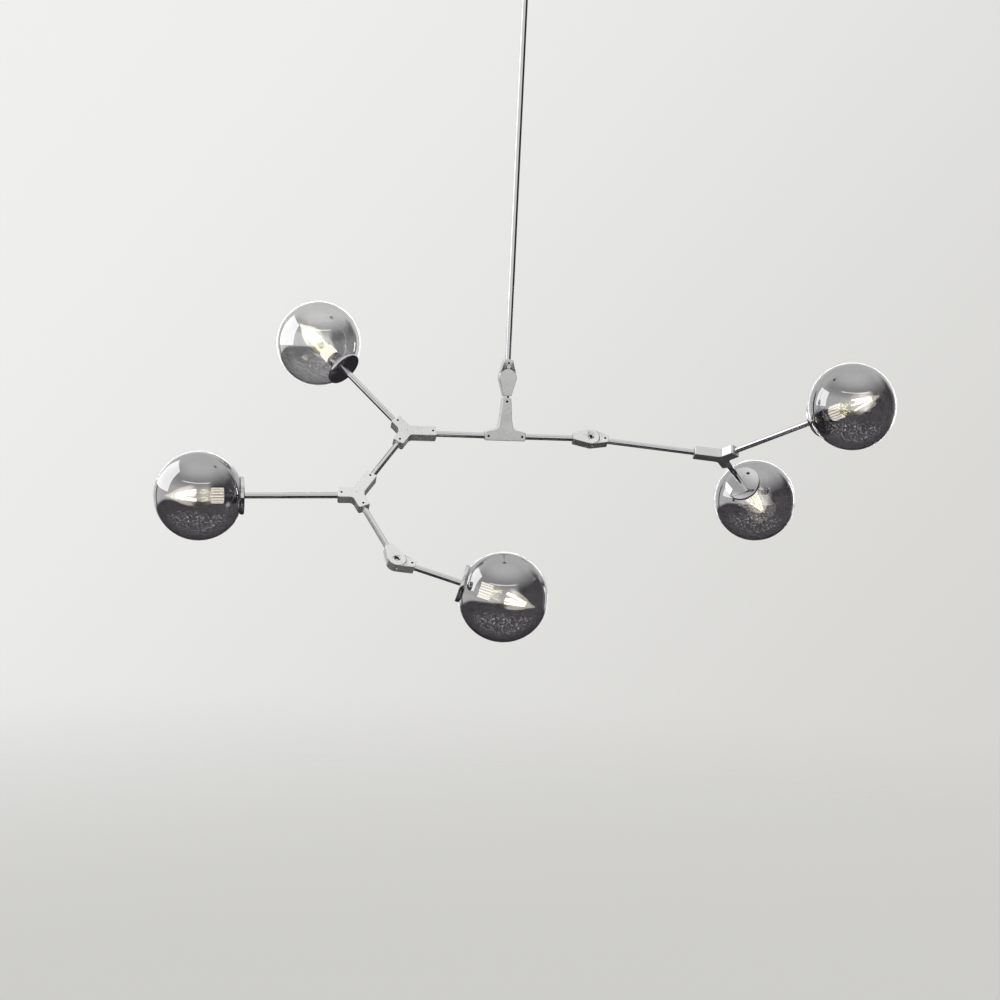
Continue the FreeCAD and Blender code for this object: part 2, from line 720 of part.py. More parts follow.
# Right branch: arm, hinge, link and the third fork with lamps 4 and 5
right_pivot = hub + bar * RIGHT_ARM
right_face = turned(front, bar, -RIGHT_TWIST)
to_fork = turned(bar, right_face, RIGHT_BEND)
save("right_arm", tube(hub + bar * TEE_SOCKET, right_pivot - bar * HINGE_SOCKET))
right_screws, knuckle_screws = save_hinge(
    "right_hinge_inner", "right_hinge_outer", right_pivot, bar * -1, to_fork, right_face,
    TURNING_FIT)
save_casting_screws("right_screw", right_screws)
save_casting_screws("right_hinge_screws", knuckle_screws)
right_centre = right_pivot + to_fork * RIGHT_LINK
save("right_link", tube(
    right_pivot + to_fork * HINGE_SOCKET, right_centre - to_fork * LONG_SOCKET))
square_front = front - to_fork * front.dot(to_fork)
square_front.normalize()
fork_face = turned(square_front, to_fork, FORK_TWIST) * -1
fork_screws, to_lamp_4, to_lamp_5 = save_fork(
    "right_fork", right_centre, to_fork * -1, fork_face, [])
save_casting_screws("right_fork_screws", fork_screws)
save_lamp_arm(4, right_centre, to_lamp_4, LAMP_4)
save_lamp_arm(5, right_centre, to_lamp_5, LAMP_5)
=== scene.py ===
import json
import math

import bmesh
import bpy
import numpy as np
from mathutils import Matrix, Vector


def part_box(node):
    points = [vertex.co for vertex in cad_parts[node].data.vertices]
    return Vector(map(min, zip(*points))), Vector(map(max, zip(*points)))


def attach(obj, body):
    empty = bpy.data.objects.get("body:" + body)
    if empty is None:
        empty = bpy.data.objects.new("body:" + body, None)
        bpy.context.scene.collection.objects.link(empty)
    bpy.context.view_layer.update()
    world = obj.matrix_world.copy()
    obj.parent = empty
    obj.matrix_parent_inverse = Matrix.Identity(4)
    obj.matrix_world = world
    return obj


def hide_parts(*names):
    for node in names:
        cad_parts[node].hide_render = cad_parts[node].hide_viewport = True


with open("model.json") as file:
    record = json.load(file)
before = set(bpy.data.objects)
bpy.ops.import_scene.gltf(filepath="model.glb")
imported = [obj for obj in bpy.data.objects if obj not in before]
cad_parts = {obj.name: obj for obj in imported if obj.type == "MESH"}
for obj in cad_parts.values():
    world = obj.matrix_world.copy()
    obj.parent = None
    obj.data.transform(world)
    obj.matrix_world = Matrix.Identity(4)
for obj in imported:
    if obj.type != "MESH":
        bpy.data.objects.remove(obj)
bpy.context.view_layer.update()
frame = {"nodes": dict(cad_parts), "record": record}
bodies = frame["record"]["behaviour"]["bodies"]
body_of_node = {node: body for body, members in bodies.items() for node in members}

# ---------------------------------------------------------------------------------------------
# Ceiling set. A zinc plated strap is screwed to the ceiling. A turned brass bush hangs in it,
# held by its nut. The spun chrome canopy covers both and is pulled up by two domed nuts.
# ---------------------------------------------------------------------------------------------


def finish_group(name, outputs, inputs):
    """An empty shader node group with named sockets, and its input and output nodes."""
    group = bpy.data.node_groups.new(name, "ShaderNodeTree")
    for socket, kind, value in inputs:
        made = group.interface.new_socket(socket, in_out="INPUT", socket_type=kind)
        made.default_value = value
    for socket, kind in outputs:
        group.interface.new_socket(socket, in_out="OUTPUT", socket_type=kind)
    return group, group.nodes.new("NodeGroupInput"), group.nodes.new("NodeGroupOutput")


def math_node(tree, operation, *values):
    """A math node whose inputs are numbers or other sockets."""
    node = tree.nodes.new("ShaderNodeMath")
    node.operation = operation
    for index, value in enumerate(values):
        if isinstance(value, (int, float)):
            node.inputs[index].default_value = value
        else:
            tree.links.new(value, node.inputs[index])
    return node.outputs[0]


def noise_node(tree, scale, detail=3.0, vector=None):
    """Noise over the piece's own coordinates, in metres."""
    if vector is None:
        vector = tree.nodes.new("ShaderNodeTexCoord").outputs["Object"]
    node = tree.nodes.new("ShaderNodeTexNoise")
    node.inputs["Detail"].default_value = detail
    if isinstance(scale, (int, float)):
        node.inputs["Scale"].default_value = scale
    else:
        tree.links.new(scale, node.inputs["Scale"])
    tree.links.new(vector, node.inputs["Vector"])
    return node.outputs["Fac"]


SMEAR_SHARE = 0.75              # share of the broad smears in the relief, the rest is grain
NOISE_LOW, NOISE_HIGH = 0.35, 0.65


def handling_group():
    """Faint smears from polishing and handling: a roughness that drifts, and a fine height."""
    group, given, made = finish_group(
        "handling",
        [("Roughness", "NodeSocketFloat"), ("Height", "NodeSocketFloat")],
        [("Least Roughness", "NodeSocketFloat", 0.03),
         ("Most Roughness", "NodeSocketFloat", 0.12),
         ("Smear Scale", "NodeSocketFloat", 30.0),
         ("Grain Scale", "NodeSocketFloat", 900.0)])
    smears = noise_node(group, given.outputs["Smear Scale"], 4.0)
    grain = noise_node(group, given.outputs["Grain Scale"], 2.0)
    broad = math_node(group, "MULTIPLY", smears, SMEAR_SHARE)
    mixed = math_node(group, "MULTIPLY_ADD", grain, 1 - SMEAR_SHARE, broad)
    spread = group.nodes.new("ShaderNodeMapRange")
    spread.inputs["From Min"].default_value = NOISE_LOW
    spread.inputs["From Max"].default_value = NOISE_HIGH
    group.links.new(mixed, spread.inputs["Value"])
    group.links.new(given.outputs["Least Roughness"], spread.inputs["To Min"])
    group.links.new(given.outputs["Most Roughness"], spread.inputs["To Max"])
    group.links.new(spread.outputs["Result"], made.inputs["Roughness"])
    group.links.new(mixed, made.inputs["Height"])
    return group


handling = handling_group()


def new_material(name, colour):
    """A material with a Principled shader, and its tree and shader."""
    material = bpy.data.materials.new(name)
    material.use_nodes = True
    shader = material.node_tree.nodes["Principled BSDF"]
    shader.inputs["Base Color"].default_value = (*colour, 1.0)
    return material, material.node_tree, shader


def add_handling(tree, shader, least, most, smear_scale, grain_scale, depth):
    """Drives a shader's roughness and its fine relief from the handling group."""
    use = tree.nodes.new("ShaderNodeGroup")
    use.node_tree = handling
    use.inputs["Least Roughness"].default_value = least
    use.inputs["Most Roughness"].default_value = most
    use.inputs["Smear Scale"].default_value = smear_scale
    use.inputs["Grain Scale"].default_value = grain_scale
    tree.links.new(use.outputs["Roughness"], shader.inputs["Roughness"])
    bump = tree.nodes.new("ShaderNodeBump")
    bump.inputs["Strength"].default_value = 1.0
    bump.inputs["Distance"].default_value = depth
    tree.links.new(use.outputs["Height"], bump.inputs["Height"])
    tree.links.new(bump.outputs["Normal"], shader.inputs["Normal"])
    return use


def metal(name, colour, least, most, smear_scale=30.0, grain_scale=900.0, depth=2e-6):
    """A bare or plated metal."""
    material, tree, shader = new_material(name, colour)
    shader.inputs["Metallic"].default_value = 1.0
    add_handling(tree, shader, least, most, smear_scale, grain_scale, depth)
    return material


polished_chrome = metal("polished_chrome", (0.68, 0.68, 0.69), 0.02, 0.07)
turned_brass = metal("turned_brass", (0.80, 0.62, 0.33), 0.18, 0.38, 60.0, 1500.0)
zinc_plate = metal("zinc_plate", (0.62, 0.63, 0.66), 0.28, 0.5, 45.0, 700.0)


WELD_REACH = 2e-6               # corners closer than this are one corner
LEAST_EDGE = 1e-7
SHARP_ANGLE = math.radians(35)  # corners sharper than this stay sharp


def tidy_copy(node, piece_name, material):
    """The CAD node's shape as one closed, smoothly shaded piece that stands for it."""
    source = frame["nodes"][node]
    shell = bmesh.new()
    shell.from_mesh(source.data)
    bmesh.ops.remove_doubles(shell, verts=shell.verts, dist=WELD_REACH)
    bmesh.ops.dissolve_degenerate(shell, edges=shell.edges, dist=LEAST_EDGE)
    mesh = bpy.data.meshes.new(piece_name)
    shell.to_mesh(mesh)
    shell.free()
    mesh.shade_smooth()
    mesh.set_sharp_from_angle(angle=SHARP_ANGLE)
    mesh.materials.append(material)
    piece = bpy.data.objects.new(piece_name, mesh)
    bpy.context.scene.collection.objects.link(piece)
    weighted = piece.modifiers.new("even_shading", "WEIGHTED_NORMAL")
    weighted.keep_sharp = True
    weighted.weight = 100
    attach(piece, body_of_node[node])
    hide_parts(node)
    return piece


for node in ("canopy", "canopy_nuts"):
    tidy_copy(node, "ceiling_" + node, polished_chrome)
for node in ("swivel_bush", "bush_nut"):
    tidy_copy(node, "turned_" + node, turned_brass)
tidy_copy("ceiling_bracket", "ceiling_strap", zinc_plate)

# ---------------------------------------------------------------------------------------------
# Terminal block. A moulded block for the two wires from the ceiling, out of sight above the
# canopy. The moulding is slightly matt, with a faint mottle.
# ---------------------------------------------------------------------------------------------


def moulding(name, colour, darker):
    """A moulded plastic whose colour and roughness drift a little."""
    material, tree, shader = new_material(name, colour)
    add_handling(tree, shader, 0.35, 0.55, 80.0, 1200.0, 1e-5)
    drift = noise_node(tree, 120.0, 4.0)
    mix = tree.nodes.new("ShaderNodeMix")
    mix.data_type = "RGBA"
    mix.inputs["A"].default_value = (*colour, 1.0)
    mix.inputs["B"].default_value = (*darker, 1.0)
    tree.links.new(drift, mix.inputs["Factor"])
    tree.links.new(mix.outputs["Result"], shader.inputs["Base Color"])
    return material


cream_moulding = moulding("cream_moulding", (0.86, 0.83, 0.76), (0.74, 0.71, 0.63))
tidy_copy("terminal_block", "wire_block", cream_moulding)

# ---------------------------------------------------------------------------------------------
# Tubes. Drawn steel tube, 10 mm across with a 1 mm wall, polished and chrome plated. Each one
# is pushed into the sockets of the castings and held by a grub screw at its end. The ends are
# out of sight, so each tube is drawn as a closed bar and its bore is left out.
# ---------------------------------------------------------------------------------------------

TUBE_RADIUS = 0.005
TUBE_SIDES = 64
END_RING_DEPTH = 0.0004         # corners this close to a tube's end belong to its end ring


def piece_from(mesh, name, body, material, nodes):
    """A finished piece at the origin that rides on a body and stands for CAD nodes."""
    piece = bpy.data.objects.new(name, mesh)
    bpy.context.scene.collection.objects.link(piece)
    if not mesh.materials:
        mesh.materials.append(material)
    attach(piece, body)
    if nodes:
        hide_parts(*nodes)
    return piece


def corner_points(node):
    """The node's corners, each once, in metres."""
    mesh = frame["nodes"][node].data
    points = np.empty(len(mesh.vertices) * 3)
    mesh.vertices.foreach_get("co", points)
    return np.unique(np.round(points.reshape(-1, 3), 6), axis=0)


def tube_ends(node):
    """The middles of a straight tube's two end rings."""
    points = corner_points(node)
    middle = (points.min(0) + points.max(0)) / 2
    spread = points - middle
    direction = np.linalg.eigh(spread.T @ spread)[1][:, 2]
    along = spread @ direction
    first = points[along < along.min() + END_RING_DEPTH].mean(0)
    last = points[along > along.max() - END_RING_DEPTH].mean(0)
    return Vector(first), Vector(last)


def geometry_tree(name, inputs):
    """An empty geometry node tree with named inputs and one geometry output."""
    tree = bpy.data.node_groups.new(name, "GeometryNodeTree")
    tree.interface.new_socket("Geometry", in_out="OUTPUT", socket_type="NodeSocketGeometry")
    for socket, kind, value in inputs:
        made = tree.interface.new_socket(socket, in_out="INPUT", socket_type=kind)
        if value is not None:
            made.default_value = value
    return tree, tree.nodes.new("NodeGroupInput"), tree.nodes.new("NodeGroupOutput")


def finish_tree(tree, geometry, given, made):
    """Ends a geometry tree in real geometry with its material set."""
    realize = tree.nodes.new("GeometryNodeRealizeInstances")
    tree.links.new(geometry, realize.inputs["Geometry"])
    paint = tree.nodes.new("GeometryNodeSetMaterial")
    tree.links.new(realize.outputs["Geometry"], paint.inputs["Geometry"])
    tree.links.new(given.outputs["Material"], paint.inputs["Material"])
    tree.links.new(paint.outputs["Geometry"], made.inputs["Geometry"])


def drawn_tube_tree():
    """A straight bar from Start to End, as wide as the tube and closed at both ends."""
    tree, given, made = geometry_tree("drawn_tube", [
        ("Start", "NodeSocketVector", (0, 0, 0)), ("End", "NodeSocketVector", (0, 0, 1)),
        ("Radius", "NodeSocketFloat", TUBE_RADIUS), ("Sides", "NodeSocketInt", TUBE_SIDES),
        ("Material", "NodeSocketMaterial", None)])
    link = tree.links.new
    line = tree.nodes.new("GeometryNodeCurvePrimitiveLine")
    link(given.outputs["Start"], line.inputs["Start"])
    link(given.outputs["End"], line.inputs["End"])
    ring = tree.nodes.new("GeometryNodeCurvePrimitiveCircle")
    link(given.outputs["Sides"], ring.inputs["Resolution"])
    link(given.outputs["Radius"], ring.inputs["Radius"])
    skin = tree.nodes.new("GeometryNodeCurveToMesh")
    skin.inputs["Fill Caps"].default_value = True
    link(line.outputs["Curve"], skin.inputs["Curve"])
    link(ring.outputs["Curve"], skin.inputs["Profile Curve"])
    smooth = tree.nodes.new("GeometryNodeSetShadeSmooth")
    link(skin.outputs["Mesh"], smooth.inputs["Geometry"])
    finish_tree(tree, smooth.outputs["Geometry"], given, made)
    return tree


drawn_tube = drawn_tube_tree()


def evaluated_mesh(tree, values, name):
    """The plain mesh that a geometry tree makes with these input values."""
    carrier = bpy.data.objects.new("carrier", bpy.data.meshes.new("carrier"))
    bpy.context.scene.collection.objects.link(carrier)
    modifier = carrier.modifiers.new("maker", "NODES")
    modifier.node_group = tree
    for item in tree.interface.items_tree:
        if item.in_out == "INPUT" and item.name in values:
            modifier[item.identifier] = values[item.name]
    bpy.context.view_layer.update()
    seen = carrier.evaluated_get(bpy.context.evaluated_depsgraph_get())
    mesh = bpy.data.meshes.new_from_object(seen)
    mesh.name = name
    carrier.modifiers.clear()
    bpy.data.objects.remove(carrier)
    return mesh


def even_shading(piece):
    """Smooth shading that breaks at corners."""
    piece.data.shade_smooth()
    piece.data.set_sharp_from_angle(angle=SHARP_ANGLE)


TUBES = ("stem_upper", "stem_lower", "hub_stub", "left_arm", "lamp_1_arm", "lower_link",
         "lamp_2_arm", "drop_arm", "lamp_3_arm", "right_arm", "right_link", "lamp_4_arm",
         "lamp_5_arm")
for node in TUBES:
    start, end = tube_ends(node)
    mesh = evaluated_mesh(drawn_tube, {
        "Start": tuple(start), "End": tuple(end), "Radius": TUBE_RADIUS,
        "Sides": TUBE_SIDES, "Material": polished_chrome}, node + "_tube")
    piece = piece_from(
        mesh, node + "_tube", body_of_node[node], polished_chrome, [node])
    even_shading(piece)
for node in ("stem_collar", "stem_coupling"):
    tidy_copy(node, node + "_turned", turned_brass)

# ---------------------------------------------------------------------------------------------
# Castings. The tee, the forks and the hinge halves are die cast, ground flat, their edges
# softened by the polishing wheel, and chrome plated like the tubes.
# ---------------------------------------------------------------------------------------------


def satin_chrome_material():
    """Chrome over a bead blasted casting: bright, with a fine even grain."""
    material, tree, shader = new_material("satin_chrome", (0.87, 0.87, 0.87))
    shader.inputs["Metallic"].default_value = 0.5
    add_handling(tree, shader, 0.20, 0.30, 40.0, 1800.0, 2e-6)
    return material


satin_chrome = satin_chrome_material()
CASTINGS = ("stem_hinge_upper", "stem_hinge_lower", "tee", "left_fork", "second_fork",
            "drop_hinge_upper", "drop_hinge_lower", "right_hinge_inner", "right_hinge_outer",
            "right_fork")
for node in CASTINGS:
    tidy_copy(node, node + "_casting", satin_chrome)

# ---------------------------------------------------------------------------------------------
# Screws. Each hinge turns on a shoulder screw with a hexagon socket, and each tube is held by
# a small grub screw. They are turned from steel and blackened.
# ---------------------------------------------------------------------------------------------

black_screw = metal("black_screw", (0.022, 0.022, 0.024), 0.30, 0.50, 200.0, 2500.0)
SCREWS = ("stem_screw", "hub_screws", "left_fork_screws", "second_fork_screws", "drop_screw",
          "drop_hinge_screws", "right_screw", "right_hinge_screws", "right_fork_screws")
PIVOT_LEAST_WIDTH = 0.0065      # a pivot screw is wider than this, and a grub screw is not
HEAD_REACH = 0.0060             # the head's corners lie this close to the screw's axis


def islands(shell):
    """The separate shells of a mesh, each as a list of corners."""
    left = set(shell.verts)
    found = []
    while left:
        start = left.pop()
        island = [start]
        waiting = [start]
        while waiting:
            for edge in waiting.pop().link_edges:
                for corner in edge.verts:
                    if corner in left:
                        left.remove(corner)
                        island.append(corner)
                        waiting.append(corner)
        found.append(island)
    return found


def head_faces(island):
    """Faces of a pivot screw's blackened head, round its hexagon socket."""
    points = np.array([corner.co for corner in island])
    middle = points.mean(0)
    around = points - middle
    axis = Vector(np.linalg.eigh(around.T @ around)[1][:, 2])
    inside = set()
    for corner in island:
        offset = corner.co - Vector(middle)
        if (offset - axis * offset.dot(axis)).length < HEAD_REACH:
            inside.add(corner)
    return {face for corner in inside for face in corner.link_faces
            if all(other in inside for other in face.verts)}


for node in SCREWS:
    piece = tidy_copy(node, node + "_set", polished_chrome)
    piece.data.materials.append(black_screw)
    shell = bmesh.new()
    shell.from_mesh(piece.data)
    for island in islands(shell):
        points = np.array([corner.co for corner in island])
        spread = points - points.mean(0)
        sizes = np.ptp(spread @ np.linalg.eigh(spread.T @ spread)[1], axis=0)
        if sorted(sizes)[1] > PIVOT_LEAST_WIDTH:
            dark = head_faces(island)
        else:
            dark = {face for corner in island for face in corner.link_faces}
        for face in dark:
            face.material_index = 1
    shell.to_mesh(piece.data)
    shell.free()

# ---------------------------------------------------------------------------------------------
# Lamps. A polished disc with a skirt closes each blown globe. The lampholder stands on the
# disc in a chrome sleeve, and a candle bulb with light filaments is screwed into it.
# ---------------------------------------------------------------------------------------------

ARM_END = -0.058           # end of the arm tube, from the globe's centre
ROUND_SIDES = 128
SMALL_SIDES = 64
THIN_SIDES = 32
ON_AXIS = 1e-7             # a smaller radius than this is a point on the axis
TURNED_SHARP_ANGLE = math.radians(50)


def lamp_place(number):
    """The matrix that carries local z, along the arm, to the lamp's own place."""
    near, far = tube_ends("lamp_%d_arm" % number)
    globe_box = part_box("lamp_%d_globe" % number)
    middle = (globe_box[0] + globe_box[1]) / 2
    if (near - middle).length < (far - middle).length:
        near, far = far, near
    direction = (far - near).normalized()
    centre = far - direction * ARM_END
    across = direction.cross(Vector((0, 0, 1))).normalized()
    other = direction.cross(across)
    place = Matrix((across, other, direction)).transposed().to_4x4()
    place.translation = centre
    return place


def turned_mesh(profile, place, name, sides=ROUND_SIDES, closed=True):
    """A closed profile of (distance along the axis, radius) turned about the lamp's axis."""
    shell = bmesh.new()
    rings = []
    for along, radius in profile:
        if radius < ON_AXIS:
            rings.append([shell.verts.new(place @ Vector((0, 0, along)))])
            continue
        ring = []
        for step in range(sides):
            angle = 2 * math.pi * step / sides
            spot = Vector((radius * math.cos(angle), radius * math.sin(angle), along))
            ring.append(shell.verts.new(place @ spot))
        rings.append(ring)
    pairs = list(zip(rings, rings[1:]))
    if closed:
        pairs.append((rings[-1], rings[0]))
    for first, second in pairs:
        if len(first) == 1 and len(second) == 1:
            continue
        for step in range(sides):
            following = (step + 1) % sides
            corners = [first[step % len(first)], first[following % len(first)],
                       second[following % len(second)], second[step % len(second)]]
            unique = []
            for corner in corners:
                if corner not in unique:
                    unique.append(corner)
            shell.faces.new(unique)
    bmesh.ops.recalc_face_normals(shell, faces=shell.faces)
    mesh = bpy.data.meshes.new(name)
    shell.to_mesh(mesh)
    shell.free()
    mesh.shade_smooth()
    mesh.set_sharp_from_angle(angle=TURNED_SHARP_ANGLE)
    return mesh


def arc_points(radius, start, end, count):
    """Points (along, radius) of a circle about the lamp's centre, angles from the axis."""
    points = []
    for step in range(count + 1):
        angle = math.radians(start + (end - start) * step / count)
        points.append((radius * math.cos(angle), radius * math.sin(angle)))
    return points


# Globe: blown in smoke grey glass and lightly mirrored on its outside
GLOBE_RADIUS = 0.0725
GLOBE_WALL = 0.002
NECK_RADIUS = 0.0298
NECK_BACK = -0.0696
GLOBE_STEPS = 72


def globe_profile():
    """Outside from tip to neck, then the inside from neck to tip."""
    inner = GLOBE_RADIUS - GLOBE_WALL
    inner_neck = NECK_RADIUS - GLOBE_WALL
    outer_end = 180 - math.degrees(math.asin(NECK_RADIUS / GLOBE_RADIUS))
    inner_end = 180 - math.degrees(math.asin(inner_neck / inner))
    profile = arc_points(GLOBE_RADIUS, 0.0, outer_end, GLOBE_STEPS)
    profile[0] = (GLOBE_RADIUS, 0.0)
    profile += [(NECK_BACK, NECK_RADIUS), (NECK_BACK, inner_neck)]
    inside = arc_points(inner, inner_end, 0.0, GLOBE_STEPS)
    inside[-1] = (inner, 0.0)
    return profile + inside


def smoked_glass_material(name, deep, pale):
    """Smoke grey glass whose tint drifts a little, with a thin mirror coat outside."""
    material, tree, shader = new_material(name, deep)
    shader.inputs["Transmission Weight"].default_value = 1.0
    shader.inputs["IOR"].default_value = 1.5
    shader.inputs["Coat Weight"].default_value = 1.0
    shader.inputs["Coat IOR"].default_value = 3.2
    shader.inputs["Coat Roughness"].default_value = 0.0
    use = add_handling(tree, shader, 0.0, 0.012, 14.0, 400.0, 3e-6)
    drift = tree.nodes.new("ShaderNodeMix")
    drift.data_type = "RGBA"
    drift.inputs["A"].default_value = (*deep, 1.0)
    drift.inputs["B"].default_value = (*pale, 1.0)
    tree.links.new(use.outputs["Height"], drift.inputs["Factor"])
    tree.links.new(drift.outputs["Result"], shader.inputs["Base Color"])
    return material


smoked_glass = smoked_glass_material("smoked_glass", (0.38, 0.37, 0.39), (0.46, 0.45, 0.465))
pale_smoked_glass = smoked_glass_material(
    "pale_smoked_glass", (0.72, 0.715, 0.72), (0.80, 0.795, 0.80))
PALE_GLOBE = 1                  # the first lamp's globe is the least deeply smoked

# Cap: a polished disc with a short skirt round the globe's neck
CAP_PROFILE = [
    (-0.0720, 0.0050), (-0.0720, 0.0302), (-0.0717, 0.0307), (-0.0712, 0.0310),
    (-0.0664, 0.0310), (-0.0662, 0.0308), (-0.0662, 0.0300), (-0.0700, 0.0300),
    (-0.0700, 0.0050)]

# Lampholder: a sleeve with a rolled front lip, and a ribbed ring round the bulb's foot
HOLDER_PROFILE = [
    (-0.0700, 0.0050), (-0.0700, 0.0127), (-0.0697, 0.0130), (-0.0406, 0.0130),
    (-0.0401, 0.0128), (-0.0400, 0.0124), (-0.0400, 0.0070), (-0.0460, 0.0070),
    (-0.0460, 0.0035), (-0.0580, 0.0035), (-0.0580, 0.0050)]
RING_PROFILE = [
    (-0.0400, 0.0100), (-0.0400, 0.0122), (-0.0395, 0.0127), (-0.0207, 0.0127),
    (-0.0202, 0.0125), (-0.0200, 0.0121), (-0.0200, 0.0113), (-0.0203, 0.0110),
    (-0.0300, 0.0108)]
FLUTES = 16
FLUTE_DEPTH = 0.0011
RING_OUTSIDE = 0.0119            # corners farther out than this are cut by the flutes


def cut_flutes(mesh, place):
    """Cuts lengthwise flutes into a ring's outside and stores how high each corner stands."""
    back = place.inverted()
    height = mesh.attributes.new("flute_height", "FLOAT", "POINT")
    for index, vertex in enumerate(mesh.vertices):
        spot = back @ vertex.co
        radius = math.hypot(spot.x, spot.y)
        wave = 0.5 + 0.5 * math.cos(FLUTES * math.atan2(spot.y, spot.x))
        height.data[index].value = wave
        if radius > RING_OUTSIDE:
            shrink = 1 - FLUTE_DEPTH * (1 - wave) / radius
            vertex.co = place @ Vector((spot.x * shrink, spot.y * shrink, spot.z))


def opal_ring_painted_glow_material():
    """A ribbed opal ring with a painted glow that stands for the bulb's light, and painted
    shade in its flutes.
    """
    material, tree, shader = new_material("opal_ring_painted_glow", (0.80, 0.78, 0.70))
    add_handling(tree, shader, 0.12, 0.25, 90.0, 1500.0, 2e-6)
    height = tree.nodes.new("ShaderNodeAttribute")
    height.attribute_name = "flute_height"
    # Painted glow and painted shade: the emission is bright on the ribs and dark in the flutes
    glow = tree.nodes.new("ShaderNodeMix")
    glow.data_type = "RGBA"
    glow.inputs["A"].default_value = (0.16, 0.15, 0.10, 1.0)
    glow.inputs["B"].default_value = (1.0, 0.95, 0.80, 1.0)
    tree.links.new(height.outputs["Fac"], glow.inputs["Factor"])
    tree.links.new(glow.outputs["Result"], shader.inputs["Emission Color"])
    shader.inputs["Emission Strength"].default_value = 4.0
    return material


opal_ring_painted_glow = opal_ring_painted_glow_material()

# Bulb: a clear candle shaped envelope, drawn out to a tip
BULB_OUTLINE = [
    (-0.0235, 0.0070), (-0.0215, 0.0086), (-0.0190, 0.0105), (-0.0163, 0.0124),
    (-0.0135, 0.0139), (-0.0100, 0.0154), (-0.0060, 0.0166), (-0.0010, 0.0174),
    (0.0040, 0.0175), (0.0090, 0.0173), (0.0150, 0.0166), (0.0220, 0.0152),
    (0.0280, 0.0133), (0.0330, 0.0111), (0.0370, 0.0090), (0.0410, 0.0064),
    (0.0455, 0.0040), (0.0500, 0.0022), (0.0528, 0.0013), (0.0538, 0.0006), (0.0540, 0.0)]
BULB_WALL = 0.0008


def smoothed(points, rounds=2):
    """The outline with its corners cut, so that it reads as one curve."""
    for _ in range(rounds):
        finer = [points[0]]
        for first, second in zip(points, points[1:]):
            for share in (0.25, 0.75):
                finer.append(tuple(a + (b - a) * share for a, b in zip(first, second)))
        finer.append(points[-1])
        points = finer
    return points


def bulb_profile():
    """Envelope outside from foot to tip, then inside from tip to foot."""
    outside = smoothed(BULB_OUTLINE)
    inside = []
    for along, radius in reversed(outside[:-6]):
        inside.append((along - BULB_WALL * 0.5, max(radius - BULB_WALL, 0.0)))
    inside[0] = (inside[0][0], 0.0)
    return outside + inside


def glow_attribute(mesh, place):
    """Stores how far along the lamp's axis each corner of a bulb lies, in metres."""
    back = place.inverted()
    along = mesh.attributes.new("along_bulb", "FLOAT", "POINT")
    for index, vertex in enumerate(mesh.vertices):
        along.data[index].value = (back @ vertex.co).z


def bulb_glass_material():
    """Clear glass that is lit by its own filaments: bright at the front, clear at the foot."""
    material, tree, shader = new_material("bulb_glass", (0.90, 0.91, 0.84))
    shader.inputs["Transmission Weight"].default_value = 1.0
    shader.inputs["IOR"].default_value = 1.45
    add_handling(tree, shader, 0.0, 0.02, 60.0, 900.0, 1e-6)
    along = tree.nodes.new("ShaderNodeAttribute")
    along.attribute_name = "along_bulb"
    lit = tree.nodes.new("ShaderNodeMapRange")
    lit.interpolation_type = "SMOOTHSTEP"
    lit.inputs["From Min"].default_value = 0.004
    lit.inputs["From Max"].default_value = 0.014
    tree.links.new(along.outputs["Fac"], lit.inputs["Value"])
    glow = tree.nodes.new("ShaderNodeMix")
    glow.data_type = "RGBA"
    glow.inputs["A"].default_value = (0.045, 0.047, 0.030, 1.0)
    glow.inputs["B"].default_value = (1.0, 0.96, 0.86, 1.0)
    tree.links.new(lit.outputs["Result"], glow.inputs["Factor"])
    tree.links.new(glow.outputs["Result"], shader.inputs["Emission Color"])
    shader.inputs["Emission Strength"].default_value = 0.42
    return material


bulb_glass = bulb_glass_material()

# Filaments: five coated strips round a glass stem, lit warm white
FILAMENT_COUNT = 5
FILAMENT_LENGTH = 0.034
FILAMENT_RADIUS = 0.0013
FILAMENT_RING = 0.0095
FILAMENT_FOOT = 0.004
FILAMENT_LEAN = 0.20
FILAMENT_SIDES = 16
FILAMENT_STEPS = 6


